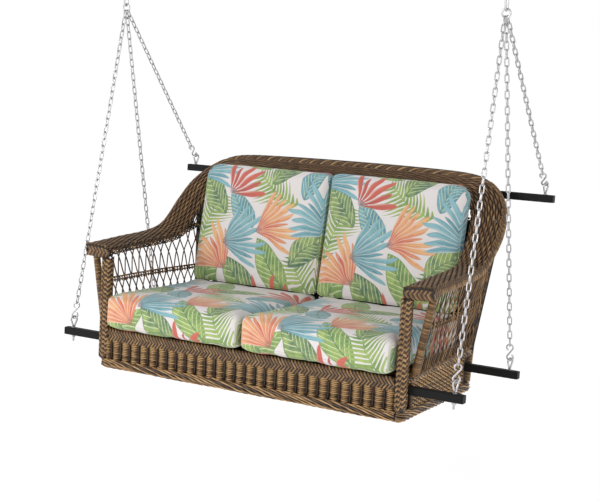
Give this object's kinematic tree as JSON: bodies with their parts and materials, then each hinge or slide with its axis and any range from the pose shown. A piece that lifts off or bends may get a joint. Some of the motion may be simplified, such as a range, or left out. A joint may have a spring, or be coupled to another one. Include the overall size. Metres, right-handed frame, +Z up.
{
  "type": "porch swing seat",
  "caption": "Two-seat wicker porch swing bench with print cushions, hung by chains on three steel bars from ceiling eyes and swinging fore and aft.",
  "frame": {"origin": "in the ceiling plane, midway between the two ceiling plates that hold the swing up", "axes": "+X to the right as seen from the front, along the bars; -Y towards the front, the way a sitter faces; +Z up"},
  "size_m": [1.634, 0.9523, 1.5591],
  "materials": {
    "wicker": "satin",
    "black_steel": "satin",
    "zinc_steel": "satin",
    "end_cap_plastic": "matte",
    "cushion_fabric": "matte"
  },
  "bodies": {
    "ceiling_mounts": {"left_ceiling_plate": "zinc_steel", "left_front_lag_screw": "zinc_steel", "left_rear_lag_screw": "zinc_steel", "right_ceiling_plate": "zinc_steel", "right_front_lag_screw": "zinc_steel", "right_rear_lag_screw": "zinc_steel"},
    "swing": {"back_bar": "black_steel", "back_bar_left_end_cap": "end_cap_plastic", "back_bar_right_end_cap": "end_cap_plastic", "back_panel": "wicker", "front_apron": "wicker", "front_bar": "black_steel", "front_bar_left_end_cap": "end_cap_plastic", "front_bar_right_end_cap": "end_cap_plastic", "left_arm_cap": "wicker", "left_back_chain": "zinc_steel", "left_back_cushion": "cushion_fabric", "left_back_eye_bolt": "zinc_steel", "left_back_s_hook": "zinc_steel", "left_front_chain": "zinc_steel", "left_front_eye_bolt": "zinc_steel", "left_front_lock_nut": "zinc_steel", "left_front_post": "wicker", "left_front_s_hook": "zinc_steel", "left_gather_ring": "zinc_steel", "left_outer_pole": "wicker", "left_rear_chain": "zinc_steel", "left_rear_eye_bolt": "zinc_steel", "left_rear_post": "wicker", "left_rear_s_hook": "zinc_steel", "left_seat_cushion": "cushion_fabric", "left_side_apron": "wicker", "left_side_panel": "wicker", "left_top_link": "zinc_steel", "rear_apron": "wicker", "rear_bar": "black_steel", "rear_bar_left_end_cap": "end_cap_plastic", "rear_bar_right_end_cap": "end_cap_plastic", "right_arm_cap": "wicker", "right_back_chain": "zinc_steel", "right_back_cushion": "cushion_fabric", "right_back_eye_bolt": "zinc_steel", "right_back_s_hook": "zinc_steel", "right_front_chain": "zinc_steel", "right_front_eye_bolt": "zinc_steel", "right_front_lock_nut": "zinc_steel", "right_front_post": "wicker", "right_front_s_hook": "zinc_steel", "right_gather_ring": "zinc_steel", "right_outer_pole": "wicker", "right_rear_chain": "zinc_steel", "right_rear_eye_bolt": "zinc_steel", "right_rear_post": "wicker", "right_rear_s_hook": "zinc_steel", "right_seat_cushion": "cushion_fabric", "right_side_apron": "wicker", "right_side_panel": "wicker", "right_top_link": "zinc_steel", "seat_deck": "wicker", "top_roll": "wicker"}
  },
  "joints": [
    {"name": "swing_hinge", "type": "hinge", "parent": "ceiling_mounts", "child": "swing", "pos_m": [0, 0, -0.034], "axis": [1, 0, 0], "range_deg": [-30, 30]}
  ]
}
